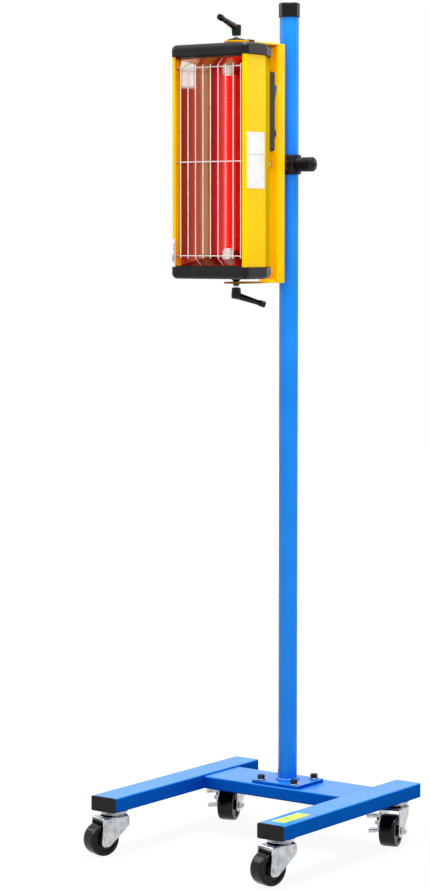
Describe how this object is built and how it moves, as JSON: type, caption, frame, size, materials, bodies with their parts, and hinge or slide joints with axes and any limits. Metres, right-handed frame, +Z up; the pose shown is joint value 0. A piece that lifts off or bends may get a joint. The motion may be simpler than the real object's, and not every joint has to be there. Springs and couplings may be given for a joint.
{
  "type": "infrared paint curing lamp",
  "caption": "Infrared paint curing lamp: a tall yellow lamp head with a wire guard, turning in a yoke that slides on a blue post over an H-shaped base with casters",
  "frame": {"origin": "middle of the footprint on the floor, X to the lamp's left side as it faces -Y, Y from the lamp towards the post", "axes": "+Z up along the post, -Y the way the lamp shines, +X the side of the clamp knob"},
  "size_m": [0.4133, 0.432, 1.4115],
  "materials": {
    "blue_paint": "glossy bright blue powder coat on steel tube",
    "yellow_paint": "glossy yellow powder coat on sheet steel",
    "black_plastic": "moulded black plastic with a fine satin grain",
    "zinc_steel": "bright zinc plated steel",
    "wheel_black": "moulded glossy black wheel",
    "polished_aluminium": "mirror polished aluminium sheet",
    "hot_quartz": "quartz tube glowing red",
    "ceramic": "off-white ceramic",
    "bright_wire": "chromed steel wire"
  },
  "bodies": {
    "stand": {"left_leg": "blue_paint", "right_leg": "blue_paint", "cross_member": "blue_paint", "leg_cap_front_left": "black_plastic", "leg_cap_rear_left": "black_plastic", "leg_cap_front_right": "black_plastic", "leg_cap_rear_right": "black_plastic", "post_flange": "blue_paint", "post_tube": "blue_paint", "post_cap": "black_plastic", "flange_bolt_1": "zinc_steel", "flange_bolt_2": "zinc_steel", "flange_bolt_3": "zinc_steel", "flange_bolt_4": "zinc_steel", "caster_race_front_left": "zinc_steel", "caster_race_front_right": "zinc_steel", "caster_race_rear_left": "zinc_steel", "caster_race_rear_right": "zinc_steel"},
    "fork_front_left": {"caster_fork_front_left": "zinc_steel"},
    "fork_front_right": {"caster_fork_front_right": "zinc_steel"},
    "fork_rear_left": {"caster_fork_rear_left": "zinc_steel"},
    "fork_rear_right": {"caster_fork_rear_right": "zinc_steel"},
    "wheel_front_left": {"caster_wheel_front_left": "wheel_black", "caster_axle_front_left": "zinc_steel"},
    "wheel_front_right": {"caster_wheel_front_right": "wheel_black", "caster_axle_front_right": "zinc_steel"},
    "wheel_rear_left": {"caster_wheel_rear_left": "wheel_black", "caster_axle_rear_left": "zinc_steel"},
    "wheel_rear_right": {"caster_wheel_rear_right": "wheel_black", "caster_axle_rear_right": "zinc_steel"},
    "brake_rear_left": {"caster_brake_rear_left": "zinc_steel"},
    "brake_rear_right": {"caster_brake_rear_right": "zinc_steel"},
    "slider": {"clamp_bush": "black_plastic"},
    "collar": {"clamp_collar": "black_plastic"},
    "knob": {"clamp_knob": "black_plastic"},
    "yoke": {"yoke": "yellow_paint", "yoke_bolt": "zinc_steel", "tension_washer": "black_plastic", "lower_spacer": "black_plastic"},
    "head": {"housing_shell": "yellow_paint", "top_cap": "black_plastic", "bottom_cap": "black_plastic", "reflector": "polished_aluminium", "reflector_end_top": "polished_aluminium", "reflector_end_bottom": "polished_aluminium", "quartz_tube": "hot_quartz", "tube_socket_top": "ceramic", "tube_socket_bottom": "ceramic", "wire_guard": "bright_wire", "control_box": "black_plastic", "cord_gland": "black_plastic", "terminal_block": "black_plastic", "pivot_stud_top": "zinc_steel", "pivot_stud_bottom": "zinc_steel"},
    "rocker": {"power_rocker": "black_plastic"},
    "lever_top": {"clamp_lever_top": "black_plastic"},
    "lever_bottom": {"clamp_lever_bottom": "black_plastic"}
  },
  "joints": [
    {"name": "height_slide", "type": "slide", "parent": "stand", "child": "slider", "axis": [0, 0, 1], "range_m": [-0.7, 0.22]},
    {"name": "post_swivel", "type": "hinge", "parent": "slider", "child": "collar", "pos_m": [0, 0.09975, 1.1435], "axis": [0, 0, 1], "continuous": true},
    {"name": "knob_turn", "type": "hinge", "parent": "collar", "child": "knob", "pos_m": [0, 0.09975, 1.1435], "axis": [1, 0, 0], "range_deg": [-180, 0]},
    {"name": "yoke_tilt", "type": "hinge", "parent": "collar", "child": "yoke", "pos_m": [0, 0.09975, 1.1435], "axis": [0, 1, 0], "range_deg": [-90, 90]},
    {"name": "lamp_turn", "type": "hinge", "parent": "yoke", "child": "head", "pos_m": [0, -0.05025, 1.1435], "axis": [0, 0, 1], "range_deg": [-90, 90]},
    {"name": "top_lever_turn", "type": "hinge", "parent": "yoke", "child": "lever_top", "pos_m": [0, -0.05025, 1.34455], "axis": [0, 0, 1], "range_deg": [-90, 90]},
    {"name": "bottom_lever_turn", "type": "hinge", "parent": "yoke", "child": "lever_bottom", "pos_m": [0, -0.05025, 0.94395], "axis": [0, 0, 1], "range_deg": [-90, 90]},
    {"name": "rocker_switch", "type": "hinge", "parent": "head", "child": "rocker", "pos_m": [0.025, 0.00005, 1.25655], "axis": [1, 0, 0], "range_deg": [0, 32]},
    {"name": "caster_swivel_front_left", "type": "hinge", "parent": "stand", "child": "fork_front_left", "pos_m": [-0.169, -0.16275, 0], "axis": [0, 0, 1], "continuous": true},
    {"name": "caster_swivel_front_right", "type": "hinge", "parent": "stand", "child": "fork_front_right", "pos_m": [0.169, -0.16275, 0], "axis": [0, 0, 1], "continuous": true},
    {"name": "caster_swivel_rear_left", "type": "hinge", "parent": "stand", "child": "fork_rear_left", "pos_m": [-0.169, 0.17575, 0], "axis": [0, 0, 1], "continuous": true},
    {"name": "caster_swivel_rear_right", "type": "hinge", "parent": "stand", "child": "fork_rear_right", "pos_m": [0.169, 0.17575, 0], "axis": [0, 0, 1], "continuous": true},
    {"name": "wheel_spin_front_left", "type": "hinge", "parent": "fork_front_left", "child": "wheel_front_left", "pos_m": [-0.17688, -0.187, 0.0275], "axis": [0.9511, -0.309, 0], "continuous": true},
    {"name": "wheel_spin_front_right", "type": "hinge", "parent": "fork_front_right", "child": "wheel_front_right", "pos_m": [0.16283, -0.18749, 0.0275], "axis": [0.9703, -0.2419, 0], "continuous": true},
    {"name": "wheel_spin_rear_left", "type": "hinge", "parent": "fork_rear_left", "child": "wheel_rear_left", "pos_m": [-0.16112, 0.1515, 0.0275], "axis": [0.9511, 0.309, 0], "continuous": true},
    {"name": "wheel_spin_rear_right", "type": "hinge", "parent": "fork_rear_right", "child": "wheel_rear_right", "pos_m": [0.17603, 0.15124, 0.0275], "axis": [0.9613, 0.2756, 0], "continuous": true},
    {"name": "brake_press_rear_left", "type": "hinge", "parent": "fork_rear_left", "child": "brake_rear_left", "pos_m": [-0.18855, 0.15599, 0.0385], "axis": [-0.309, 0.9511, 0], "range_deg": [0, 14]},
    {"name": "brake_press_rear_right", "type": "hinge", "parent": "fork_rear_right", "child": "brake_rear_right", "pos_m": [0.14877, 0.15669, 0.0385], "axis": [-0.2756, 0.9613, 0], "range_deg": [0, 14]}
  ]
}
